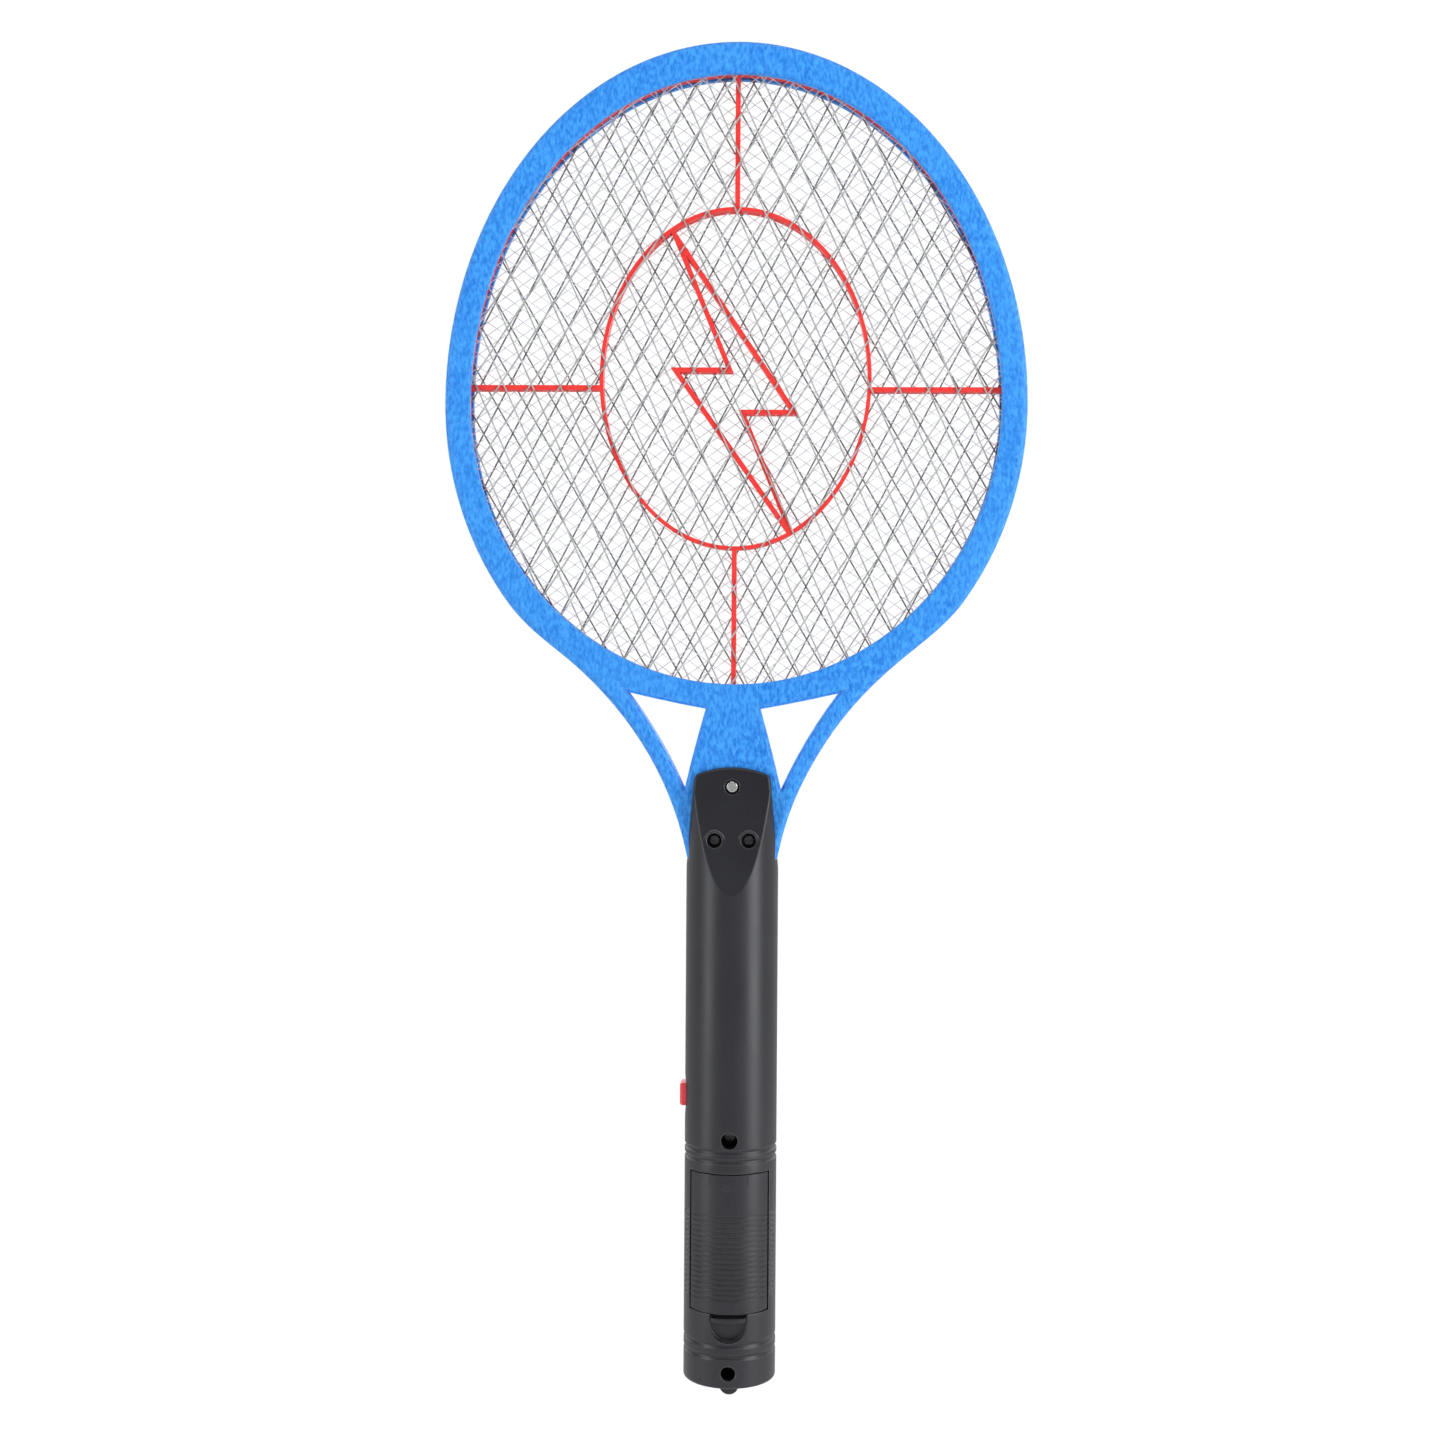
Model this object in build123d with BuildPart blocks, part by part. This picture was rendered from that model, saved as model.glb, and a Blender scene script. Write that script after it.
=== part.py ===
"""Electric fly swatter: racket-shaped insect zapper with a battery handle.

Sizes are in millimetres. +Z runs up the racket from the lanyard lug to the head, the battery
cover faces -Y, +X is to the right when the cover is seen, and z = 0 is the tip of the lug.
"""

import os
from math import cos, radians, sin

from build123d import *

os.makedirs("parts", exist_ok=True)

# ---- driving dimensions -------------------------------------------------------------------
# head
HEAD_Z = 366.3  # height of the widest row of the head
HEAD_HALF_WIDTH = 107.5
HEAD_TOP = 133.4  # rise of the outer outline above the widest row
HEAD_BOTTOM = 117.7  # drop of the outer outline below it
WINDOW_HALF_WIDTH = 98.0
WINDOW_TOP = 121.4
WINDOW_BOTTOM = 103.6
FRAME_HALF = 6.0  # each frame half reaches this far from the parting plane
LIP_INNER_Y = 3.4  # depth of the inside face of the lip that holds the mesh stack
REBATE = 3.0  # the rebate for the mesh stack is this much wider than the window
FRAME_EDGE = 2.2  # rounding of the outside edge
WINDOW_EDGE = 0.8
PEG_ANGLES = [15, 55, 90, 125, 165, 205, 335]  # places of the locating pegs round the head
PEG_INSET = 3.1
PEG_R = 1.2
PEG_LONG = 3.0
# fork between the head and the handle: outline of the arms, top to bottom
FORK_OUTLINE = [(61.2, 271.6), (40.3, 250.1), (27.0, 229.0), (16.6, 198.5)]
FORK_START = 38.3  # degrees below the widest row where the arms leave the oval
FORK_END_LEAN = 0.2
FORK_END_Z = 198.5
FORK_WINDOW_OUTER = [(38.9, 259.6), (28.9, 245.0), (17.9, 224.0)]
FORK_WINDOW_INNER = [(10.1, 253.6), (14.2, 238.5), (17.7, 224.0)]
FORK_WINDOW_DRAFT = 1.1
# mesh stack, measured from the parting plane
MESH_THICK = 0.5
SPACER_BACK_Y = 0.35
SPACER_THICK = LIP_INNER_Y - MESH_THICK - SPACER_BACK_Y
MESH_GROWTH = 2.6  # the sheets reach this far past the window, into the rebate
HOLE_GROWTH = 0.9  # mesh holes stop this far past the window
MESH_PITCH = 9.51  # distance between neighbouring parallel wires
MESH_HALF_ANGLE = 28.8  # half of the sharp angle of a diamond
MESH_WIRE = 0.52
FRONT_MESH_TURN = -4.7
FRONT_MESH_NODE = (0.1, 1.1)
REAR_MESH_TURN = 1.3
REAR_MESH_NODE = (-2.1, 1.4)
CENTRE_PITCH = 3.85
CENTRE_WIRE = 0.26
CENTRE_ANGLE = 54.3
CENTRE_LAYER = 0.3
CENTRE_NODE_RISE = 4.5  # a crossing of the centre mesh lies this far above the widest row
# red spacer figure
SPACER_LINE = 1.75
SPACER_RIM_BACK = 0.8  # the rim lies this far behind the edge of the window
OVAL_Z = 375.7
OVAL_HALF_WIDTH = 49.6
OVAL_HALF_HEIGHT = 62.7
OVAL_LINE = 1.4
ARM_RISE_LEFT = 6.0  # the side arms of the figure run this far above the widest row
ARM_RISE_RIGHT = 5.4
ARM_TOP_X = 0.4
BOLT_OUTLINE = [
    (-22.5, 428.6),
    (-2.0, 378.9),
    (-22.2, 378.9),
    (21.7, 316.9),
    (2.6, 363.3),
    (21.9, 363.3),
]
# handle
HANDLE_R = 17.0
HANDLE_BORE = 15.2
HANDLE_END_Z = 7.0
END_WALL = 2.4
HANDLE_TOP_Z = 232.2
SHOULDER_Z = 229.2
SHOULDER_HALF = 13.9
TAPER_START = (17.4, 190.1)
SHOULDER_R = 3.0
FACET_LOW = (17.0, 186.0)  # depth and height where the flat facet starts
FACET_HIGH = (7.8, 232.2)
FACET_EDGE = 1.0
FACET_WALL = 2.0
BORE_TOP_Z = 188.0  # the round bore stops here and the flat-sided neck hollow goes on
NECK_ROOF_Z = 212.0
NECK_HOLLOW_HALF = 10.0
GROOVE_Z = [18.4, 22.7, 89.3, 92.7]
GROOVE_R = 1.3  # section radius of a ring groove
GROOVE_DEEP = 0.45
GRIP_FIRST_Z = 39.4
GRIP_PITCH = 1.87
GRIP_COUNT = 17
GRIP_WIDE = 0.75
GRIP_DEEP = 0.25
GRIP_BACK_Y = -5.0  # the grip grooves stop here on the sides of the handle
# battery bay
BAY_LOW_Z = 29.0
BAY_HIGH_Z = 88.4
BULKHEAD = 1.6
OPENING_HALF = 14.4
OPENING_LOW_Z = 33.9
OPENING_HIGH_Z = 85.0
COVER_GAP = 0.45
COVER_HALF = OPENING_HALF - COVER_GAP
COVER_HIGH_Z = OPENING_HIGH_Z - COVER_GAP
COVER_INNER_R = 15.4
COVER_PIVOT_Y = -16.9
COVER_REACH = 50.4  # radius of the cover's lower end about its pivot
HOOK_HALF = 2.2
HOOK_X = 5.0
HOOK_DROP = 3.5  # the hooks start this far below the cover's upper edge
HOOK_Y = -12.3
HOOK_THICK = 1.2
HOOK_HIGH = 6.3
HOOK_RIB_Y = -13.8
HOOK_RIB_DEEP = 3.6
HOOK_RIB_HIGH = 3.0
CELL_R = 7.1
CELL_X = 7.45
CELL_BODY = 49.0
CELL_NUB_R = 2.75
CELL_NUB = 1.5
SPRING_R = 3.4
SPRING_WIRE_R = 0.3
SPRING_TURNS = 3.5
CONTACT = 0.4  # thickness of the contact plates
CONTACT_WIDE = 9.0
CONTACT_DEEP = 9.4
CONTACT_NUB_R = 2.2
LEFT_CELL_LOW = BAY_LOW_Z + 7.0
LEFT_CELL_HIGH = LEFT_CELL_LOW + CELL_BODY + CELL_NUB
RIGHT_CELL_LOW = BAY_LOW_Z + CONTACT + 1.5
RIGHT_CELL_HIGH = RIGHT_CELL_LOW + CELL_BODY + CELL_NUB
# thumb recess and latch below the cover
RECESS_HALF = 6.8
RECESS_Z = 30.4
RECESS_FLOOR_Y = -13.7
LATCH_SPACE_Y = -12.3  # the recess is this deep behind the latch
RECESS_WALL = 1.5
LATCH_HALF = 6.4
LATCH_RIDGE_Y = -15.9
LATCH_RIDGE = 1.8  # height and depth of the ridge
LATCH_WEB = 1.1
LATCH_LEAF_Y = -13.2
LATCH_LEAF = 0.9
LATCH_LEAF_HIGH = 8.5
# trigger
BUTTON_Z = 111.25
BUTTON_LONG = 8.3
BUTTON_HALF = 3.6
BUTTON_TIP_X = -18.8
BUTTON_GAP = 0.15
BUTTON_TRAVEL = 1.5
BUTTON_FLANGE_X = -13.9
BUTTON_FLANGE = 1.2  # thickness and overhang of the flange
STEM_END_X = -12.2
SCOOP_DEEP = 0.6
SCOOP_LONG = 16.0
SWITCH_LEFT_X = -7.0
SWITCH_Y = -0.5
SWITCH_HALF = 3.5
SWITCH_LONG = 7.5
PLUNGER_R = 1.6
PLUNGER_CLEARANCE = 0.08
PLUNGER_SINK = 2.8  # the plunger reaches this far into the switch at rest
# electronics
BOARD_FRONT_Y = 3.0
BOARD_THICK = 1.6
BOARD_HALF = 12.0
BOARD_LOW_Z = 103.0
BOARD_HIGH_Z = 187.0
BOARD_LEDGES_Z = [114.0, 150.0, 182.0]
LEDGE_HALF = 8.0
LEDGE_THICK = 1.6
NOTCH_DEEP = 2.0
TRANSFORMER_Z = 139.0
CORE_WIDE = 15.0
CORE_DEEP = 10.0
CORE_LIFT = 0.4
CORE_YOKE = 2.6
CORE_LIMB_LONG = 11.0
CORE_SIDE_LIMB = 2.0
CORE_MIDDLE_LIMB = 4.0
WINDING_WIDE = 10.4
WINDING_DEEP = 9.2
WINDING_LONG = 10.2
CAPACITOR_Z = 172.5
CAPACITOR_WIDE = 18.0
CAPACITOR_HIGH = 11.0
CAPACITOR_DEEP = 7.5
CAPACITOR_LEG_X = 7.5
DIODE_SPOTS_X = [-7.5, -2.5, 2.5]
DIODE_Z = 156.0
DIODE_R = 1.3
DIODE_LONG = 5.0
RESISTOR_SPOTS_X = [3.5, 6.5, 9.5]
RESISTOR_Z = 124.0
RESISTOR_R = 1.1
RESISTOR_LONG = 6.0
AXIAL_LEAD_R = 0.35
AXIAL_LEAD_LONG = 2.0
TRANSISTOR_X = -5.0
TRANSISTOR_LOW_Z = 121.0
TRANSISTOR_HIGH = 4.5
TRANSISTOR_R = 2.3
TRANSISTOR_LEG_PITCH = 1.27
BATTERY_LEAD_X = 9.5
BATTERY_LEAD_Y = 5.4
LEAD_X = 3.0
LEAD_R = 0.6
CHANNEL_R = 0.8
LEAD_TOP_Z = HEAD_Z - WINDOW_BOTTOM - MESH_GROWTH
STRAP_LOW_Z = HEAD_Z - WINDOW_BOTTOM - REBATE - 1.1
STRAP_WIDE = 2.2
STRAP_THICK = 0.4
# screws: x, z, radius of the sunk hole, depth of the head seat, depth of the tip
SCREW_SPOTS = {
    "neck_screw_centre": (0.0, 225.0, 2.75, -7.2, 8.2),
    "neck_screw_left": (-6.25, 205.7, 2.75, -8.8, 11.4),
    "neck_screw_right": (6.25, 205.7, 2.75, -8.8, 11.4),
    "handle_screw_upper": (0.0, 97.0, 3.05, -7.0, 9.0),
    "handle_screw_lower": (0.0, 12.6, 2.7, -6.0, 9.0),
}
SCREW_HEAD = 1.5
SCREW_HEAD_GAP = 0.6
SCREW_CROSS_WIDE = 0.8
SCREW_CROSS_DEEP = 0.9
SHANK_R = 1.3
SHANK_CLEARANCE = 0.2
BOSS_R = 4.3
# lanyard lug
LUG_R = 3.6
LUG_HALF_THICK = 2.0
LUG_HOLE_R = 1.6

MIN_Z = (Align.CENTER, Align.CENTER, Align.MIN)


def at_depth(y):
    """Plane facing the front (-Y) at depth y, with sketch x along +X and sketch y along +Z."""
    return Plane.XZ.offset(-y)


def oval(half_width, top, bottom, growth=0.0):
    """Face of the head's egg shape, grown outwards by growth."""
    with BuildSketch() as face:
        with BuildLine():
            EllipticalCenterArc(
                (0, HEAD_Z), half_width + growth, top + growth, start_angle=0, arc_size=180
            )
            EllipticalCenterArc(
                (0, HEAD_Z), half_width + growth, bottom + growth, start_angle=180, arc_size=180
            )
        make_face()
    return face.sketch


def window(growth=0.0):
    return oval(WINDOW_HALF_WIDTH, WINDOW_TOP, WINDOW_BOTTOM, growth)


def frame_outline():
    """Outer outline of the head and the fork in one loop, ending inside the handle."""
    turn = radians(FORK_START)
    start = (HEAD_HALF_WIDTH * cos(turn), HEAD_Z - HEAD_BOTTOM * sin(turn))
    slope = (-HEAD_HALF_WIDTH * sin(turn), -HEAD_BOTTOM * cos(turn))
    right = [start, *FORK_OUTLINE]
    left = [(-x, z) for x, z in reversed(right)]
    with BuildSketch() as face:
        with BuildLine():
            EllipticalCenterArc(
                (0, HEAD_Z), HEAD_HALF_WIDTH, HEAD_TOP, start_angle=0, arc_size=180
            )
            EllipticalCenterArc(
                (0, HEAD_Z), HEAD_HALF_WIDTH, HEAD_BOTTOM, start_angle=180, arc_size=FORK_START
            )
            Spline(*left, tangents=[(-FORK_END_LEAN, 1), (slope[0], -slope[1])])
            Line(left[0], right[-1])
            Spline(*right, tangents=[slope, (-FORK_END_LEAN, -1)])
            EllipticalCenterArc(
                (0, HEAD_Z),
                HEAD_HALF_WIDTH,
                HEAD_BOTTOM,
                start_angle=360 - FORK_START,
                arc_size=FORK_START,
            )
        make_face()
    return face.sketch


def fork_window(side):
    """See-through triangle beside the neck; side is -1 or 1."""
    outer = [(side * x, z) for x, z in FORK_WINDOW_OUTER]
    inner = [(side * x, z) for x, z in FORK_WINDOW_INNER]
    crown = (side * 25.0, 256.5)
    with BuildSketch() as face:
        with BuildLine():
            ThreePointArc(inner[0], crown, outer[0])
            ThreePointArc(*outer)
            Line(outer[-1], inner[-1])
            ThreePointArc(*reversed(inner))
        make_face()
    return face.sketch


def diamond_holes(turn, node):
    """Openings of an outer mesh, clipped just behind the frame's lip."""
    half_wide = MESH_PITCH / cos(radians(MESH_HALF_ANGLE)) / 2
    half_high = MESH_PITCH / sin(radians(MESH_HALF_ANGLE)) / 2
    shrink = 1 - MESH_WIRE / MESH_PITCH
    tip = [(half_wide, 0), (0, half_high), (-half_wide, 0), (0, -half_high)]
    tip = [(x * shrink, z * shrink) for x, z in tip]
    c, s = cos(radians(turn)), sin(radians(turn))
    reach = range(-16, 17)
    limit_x = WINDOW_HALF_WIDTH + half_wide
    limit_z = WINDOW_TOP + half_high
    spots = []
    for i in reach:
        for j in reach:
            u = half_wide * (i + j + 1)
            v = half_high * (i - j)
            x = node[0] + u * c - v * s
            z = node[1] + u * s + v * c
            if (x / limit_x) ** 2 + (z / limit_z) ** 2 < 1:
                spots.append((x, HEAD_Z + z))
    with BuildSketch() as holes:
        with Locations(*spots):
            Polygon(*tip, rotation=turn)
        add(window(HOLE_GROWTH), mode=Mode.INTERSECT)
    return holes.sketch


def wire_slots(angle):
    """Gaps between the straight wires of one layer of the centre mesh."""
    span = 2 * (WINDOW_TOP + HOLE_GROWTH)
    count = int(span / CENTRE_PITCH) + 2
    c, s = cos(radians(angle)), sin(radians(angle))
    spots = []
    for i in range(count):
        step = (i - (count - 1) / 2) * CENTRE_PITCH
        spots.append((step * c, HEAD_Z + CENTRE_NODE_RISE + step * s))
    with BuildSketch() as slots:
        with Locations(*spots):
            Rectangle(CENTRE_PITCH - CENTRE_WIRE, 2 * span, rotation=angle)
        add(window(HOLE_GROWTH), mode=Mode.INTERSECT)
    return slots.sketch


def sheet_with_holes(holes):
    """Mesh face: the window grown into the rebate, less the holes."""
    rim = window(MESH_GROWTH).face().outer_wire()
    return Face(rim, [hole.outer_wire() for hole in holes.faces()])


def spacer_figure():
    """Red insulator: rim, four arms, oval and bolt outline in one flat figure."""
    arm_end = SPACER_RIM_BACK + 1.0  # the arms run this far past the window, into the rim
    arm_top = HEAD_Z + WINDOW_TOP + arm_end
    arm_low = HEAD_Z - WINDOW_BOTTOM - arm_end
    arm_side = WINDOW_HALF_WIDTH + arm_end
    oval_top = OVAL_Z + OVAL_HALF_HEIGHT
    oval_low = OVAL_Z - OVAL_HALF_HEIGHT
    half_line = OVAL_LINE / 2
    with BuildSketch() as bolt_face:
        with BuildLine() as bolt:
            Polyline(*BOLT_OUTLINE, close=True)
        trace(bolt.edges(), line_width=SPACER_LINE)
        # the sharp tips end at the oval
        with Locations((0, OVAL_Z)):
            Ellipse(OVAL_HALF_WIDTH, OVAL_HALF_HEIGHT, mode=Mode.INTERSECT)
    with BuildSketch() as face:
        add(window(MESH_GROWTH))
        add(window(SPACER_RIM_BACK), mode=Mode.SUBTRACT)
        with Locations((0, OVAL_Z)):
            Ellipse(OVAL_HALF_WIDTH + half_line, OVAL_HALF_HEIGHT + half_line)
            Ellipse(
                OVAL_HALF_WIDTH - half_line,
                OVAL_HALF_HEIGHT - half_line,
                mode=Mode.SUBTRACT,
            )
        with Locations((ARM_TOP_X, (arm_top + oval_top) / 2)):
            Rectangle(SPACER_LINE, arm_top - oval_top)
        with Locations((0, (arm_low + oval_low) / 2)):
            Rectangle(SPACER_LINE, oval_low - arm_low)
        side_mid = (arm_side + OVAL_HALF_WIDTH) / 2
        with Locations(
            (-side_mid, HEAD_Z + ARM_RISE_LEFT),
            (side_mid, HEAD_Z + ARM_RISE_RIGHT),
        ):
            Rectangle(arm_side - OVAL_HALF_WIDTH + 0.6, SPACER_LINE)
        add(bolt_face.sketch)
    return face.sketch


def pan_screw(x, z, sink_r, seat_y, tip_y):
    """Cross-head screw whose head sits at seat_y and whose tip reaches tip_y."""
    head_r = sink_r - SCREW_HEAD_GAP
    with BuildPart() as screw:
        with BuildSketch(at_depth(seat_y)):
            with Locations((x, z)):
                Circle(head_r)
        extrude(amount=SCREW_HEAD)
        fillet(screw.faces().sort_by(Axis.Y)[0].edges(), radius=0.6)
        with BuildSketch(at_depth(seat_y - SCREW_HEAD)):
            with Locations((x, z)):
                Rectangle(SCREW_CROSS_WIDE, head_r * 1.3)
                Rectangle(head_r * 1.3, SCREW_CROSS_WIDE)
        extrude(amount=-SCREW_CROSS_DEEP, mode=Mode.SUBTRACT)
        with BuildSketch(at_depth(seat_y)):
            with Locations((x, z)):
                Circle(SHANK_R)
        extrude(amount=-(tip_y - seat_y))
        chamfer(screw.faces().sort_by(Axis.Y)[-1].edges(), length=0.5)
    return screw.part


def coil_spring(x, low_z, height):
    """Wire spring standing on low_z."""
    rise = height - 2 * SPRING_WIRE_R
    path = Helix(pitch=rise / SPRING_TURNS, height=rise, radius=SPRING_R)
    path = Pos(x, 0, low_z + SPRING_WIRE_R) * path
    start = path.edge() ^ 0
    with BuildPart() as spring:
        with BuildSketch(Plane(origin=start.position, z_dir=(path % 0))):
            Circle(SPRING_WIRE_R)
        sweep(path=path)
    return spring.part


def cell(x, low_z, up):
    """AA cell between low_z and its nub or base; up says which way the nub points."""
    base_z = low_z if up else low_z + CELL_NUB
    nub_z = low_z + CELL_BODY if up else low_z
    with BuildPart() as battery:
        with Locations((x, 0, base_z)):
            Cylinder(CELL_R, CELL_BODY, align=MIN_Z)
        chamfer(battery.edges().filter_by(GeomType.CIRCLE), length=0.4)
        with Locations((x, 0, nub_z)):
            Cylinder(CELL_NUB_R, CELL_NUB, align=MIN_Z)
    return battery.part


def recess_outline(growth=0.0):
    """Half-round thumb recess below the battery opening, open towards the opening."""
    with BuildSketch() as face:
        with Locations((0, RECESS_Z)):
            Circle(RECESS_HALF + growth)
        with Locations((0, (RECESS_Z + OPENING_LOW_Z) / 2)):
            Rectangle(2 * (RECESS_HALF + growth), OPENING_LOW_Z - RECESS_Z)
        with Locations((0, OPENING_LOW_Z)):
            Rectangle(60, 40, align=(Align.CENTER, Align.MIN), mode=Mode.SUBTRACT)
    return face.sketch


def half_space(front):
    """Large box on one side of the parting plane."""
    side = Align.MAX if front else Align.MIN
    block = Box(80, 60, 520, align=(Align.CENTER, side, Align.MIN), mode=Mode.PRIVATE)
    return block.translate((0, 0, -5))


# ---- shared outlines ----------------------------------------------------------------------
outline_face = frame_outline()
window_face = window()
rebate_face = window(REBATE)
fork_windows = [fork_window(-1), fork_window(1)]
spacer_face = spacer_figure()

# ---- head frame ---------------------------------------------------------------------------
peg_spots = []
for angle in PEG_ANGLES:
    half_height = HEAD_TOP if angle < 180 else HEAD_BOTTOM
    peg_x = (HEAD_HALF_WIDTH - PEG_INSET) * cos(radians(angle))
    peg_z = HEAD_Z + (half_height - PEG_INSET) * sin(radians(angle))
    peg_spots.append((peg_x, peg_z))
screw_xz = [(x, z) for x, z, *_ in SCREW_SPOTS.values()]

with BuildPart() as frame_half:
    with BuildSketch(at_depth(0)):
        add(outline_face)
    extrude(amount=FRAME_HALF)
    face_edges = frame_half.faces().sort_by(Axis.Y)[0].edges()
    rim_edges = [edge for edge in face_edges if edge.center().Z > FORK_END_Z + 1]
    fillet(rim_edges, radius=FRAME_EDGE)
    with BuildSketch(at_depth(0)):
        add(window_face)
    extrude(amount=FRAME_HALF, mode=Mode.SUBTRACT)
    lip_edges = frame_half.faces().sort_by(Axis.Y)[0].inner_wires().edges()
    fillet(lip_edges, radius=WINDOW_EDGE)
    with BuildSketch(at_depth(0)):
        add(rebate_face)
    extrude(amount=LIP_INNER_Y, mode=Mode.SUBTRACT)
    with BuildSketch(at_depth(0)):
        add(fork_windows[0])
        add(fork_windows[1])
    extrude(amount=FRAME_HALF, mode=Mode.SUBTRACT)
    face_front = frame_half.faces().sort_by(Axis.Y)[0]
    triangle_edges = [e for e in face_front.inner_wires().edges() if e.center().Z < 262]
    chamfer(triangle_edges, length=FORK_WINDOW_DRAFT)
    # screw clearance through the tongue
    with BuildSketch(at_depth(0)):
        with Locations(*screw_xz[:3]):
            Circle(SHANK_R + SHANK_CLEARANCE)
    extrude(amount=FRAME_HALF, mode=Mode.SUBTRACT)
    # channels for the two leads, half in each frame half
    channel_low = FORK_END_Z - 1
    channel_high = HEAD_Z - WINDOW_BOTTOM
    with Locations((-LEAD_X, 0, channel_low), (LEAD_X, 0, channel_low)):
        Cylinder(CHANNEL_R, channel_high - channel_low, align=MIN_Z, mode=Mode.SUBTRACT)
    # pocket for the strap that joins the two outer meshes
    with Locations((-LEAD_X, 0, HEAD_Z - WINDOW_BOTTOM - REBATE - 1.2)):
        Box(2.6, 2 * LIP_INNER_Y, 1.4, align=MIN_Z, mode=Mode.SUBTRACT)

with BuildPart() as head_frame_front:
    add(frame_half.part)
    with BuildSketch(at_depth(0)):
        with Locations(*peg_spots):
            Circle(PEG_R)
    extrude(amount=-PEG_LONG)
head_frame_front.part.label = "head_frame_front"
export_step(head_frame_front.part, "parts/head_frame_front.step")

with BuildPart() as head_frame_rear:
    add(frame_half.part.mirror(Plane.XZ))
    with BuildSketch(at_depth(0)):
        with Locations(*peg_spots):
            Circle(PEG_R + 0.05)
    extrude(amount=-(PEG_LONG + 0.3), mode=Mode.SUBTRACT)
head_frame_rear.part.label = "head_frame_rear"
export_step(head_frame_rear.part, "parts/head_frame_rear.step")

# ---- mesh stack ---------------------------------------------------------------------------
front_mesh_face = sheet_with_holes(diamond_holes(FRONT_MESH_TURN, FRONT_MESH_NODE))
rear_mesh_face = sheet_with_holes(diamond_holes(REAR_MESH_TURN, REAR_MESH_NODE))

with BuildPart() as outer_mesh_front:
    with BuildSketch(at_depth(-(LIP_INNER_Y - MESH_THICK))):
        add(front_mesh_face)
    extrude(amount=MESH_THICK)
outer_mesh_front.part.label = "outer_mesh_front"
export_step(outer_mesh_front.part, "parts/outer_mesh_front.step")

with BuildPart() as outer_mesh_rear:
    with BuildSketch(at_depth(LIP_INNER_Y)):
        add(rear_mesh_face)
    extrude(amount=MESH_THICK)
outer_mesh_rear.part.label = "outer_mesh_rear"
export_step(outer_mesh_rear.part, "parts/outer_mesh_rear.step")

rising_face = sheet_with_holes(wire_slots(CENTRE_ANGLE))
falling_face = sheet_with_holes(wire_slots(-CENTRE_ANGLE))

with BuildPart() as centre_mesh_front_layer:
    with BuildSketch(at_depth(0)):
        add(rising_face)
    extrude(amount=CENTRE_LAYER)
centre_mesh_front_layer.part.label = "centre_mesh_front_layer"
export_step(centre_mesh_front_layer.part, "parts/centre_mesh_front_layer.step")

with BuildPart() as centre_mesh_rear_layer:
    with BuildSketch(at_depth(CENTRE_LAYER)):
        add(falling_face)
    extrude(amount=CENTRE_LAYER)
centre_mesh_rear_layer.part.label = "centre_mesh_rear_layer"
export_step(centre_mesh_rear_layer.part, "parts/centre_mesh_rear_layer.step")

with BuildPart() as insulating_spacer_front:
    with BuildSketch(at_depth(-SPACER_BACK_Y)):
        add(spacer_face)
    extrude(amount=SPACER_THICK)
insulating_spacer_front.part.label = "insulating_spacer_front"
export_step(insulating_spacer_front.part, "parts/insulating_spacer_front.step")

with BuildPart() as insulating_spacer_rear:
    add(insulating_spacer_front.part.mirror(Plane.XZ))
insulating_spacer_rear.part.label = "insulating_spacer_rear"
export_step(insulating_spacer_rear.part, "parts/insulating_spacer_rear.step")

# ---- handle shells ------------------------------------------------------------------------
slab_y = FRAME_HALF + 0.05  # the shells clear the frame's tongue by this depth
facet_slope = (FACET_LOW[0] - FACET_HIGH[0]) / (FACET_HIGH[1] - FACET_LOW[1])
shoulder_left = (-SHOULDER_HALF, SHOULDER_Z)
shoulder_right = (SHOULDER_HALF, SHOULDER_Z)
taper_left = (-TAPER_START[0], TAPER_START[1])

# grip grooves: a comb of thin rings, kept on the front of the handle only
with BuildPart() as grip_comb:
    for row in range(GRIP_COUNT):
        with Locations((0, 0, GRIP_FIRST_Z + row * GRIP_PITCH)):
            Cylinder(HANDLE_R + 1, GRIP_WIDE)
    with Locations((0, 0, GRIP_FIRST_Z - 5)):
        Cylinder(HANDLE_R - GRIP_DEEP, 60, align=MIN_Z, mode=Mode.SUBTRACT)
    with Locations((0, GRIP_BACK_Y, 0)):
        Box(60, 60, 200, align=(Align.CENTER, Align.MIN, Align.MIN), mode=Mode.SUBTRACT)
grip_cutter = grip_comb.part

with BuildPart() as handle_envelope:
    with Locations((0, 0, HANDLE_END_Z)):
        Cylinder(HANDLE_R, HANDLE_TOP_Z - HANDLE_END_Z, align=MIN_Z)
    with BuildSketch(Plane.XZ) as front_view:
        with BuildLine():
            Polyline(shoulder_right, TAPER_START, (TAPER_START[0], 0))
            Line((TAPER_START[0], 0), (taper_left[0], 0))
            Polyline((taper_left[0], 0), taper_left, shoulder_left)
            ThreePointArc(shoulder_left, (0, HANDLE_TOP_Z), shoulder_right)
        make_face()
        fillet(front_view.vertices().group_by(Axis.Y)[-1], radius=SHOULDER_R)
    extrude(amount=HANDLE_R + 1, both=True, mode=Mode.INTERSECT)
    for side in (-1, 1):
        low = (side * (FACET_LOW[0] + facet_slope), FACET_LOW[1] - 1)
        high = (side * (FACET_HIGH[0] - 2 * facet_slope), FACET_HIGH[1] + 2)
        with BuildSketch(Plane.YZ):
            with BuildLine():
                Polyline(low, high, (side * 25, high[1]), (side * 25, low[1]), close=True)
            make_face()
        extrude(amount=HANDLE_R + 1, both=True, mode=Mode.SUBTRACT)
    flats = handle_envelope.faces().filter_by(GeomType.PLANE)
    facets = [flat for flat in flats if abs(flat.normal_at().Y) > 0.9]
    fillet([edge for flat in facets for edge in flat.edges()], radius=FACET_EDGE)
    end_rim = handle_envelope.edges().group_by(Axis.Z)[0]
    fillet(end_rim, radius=1.2)

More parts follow.
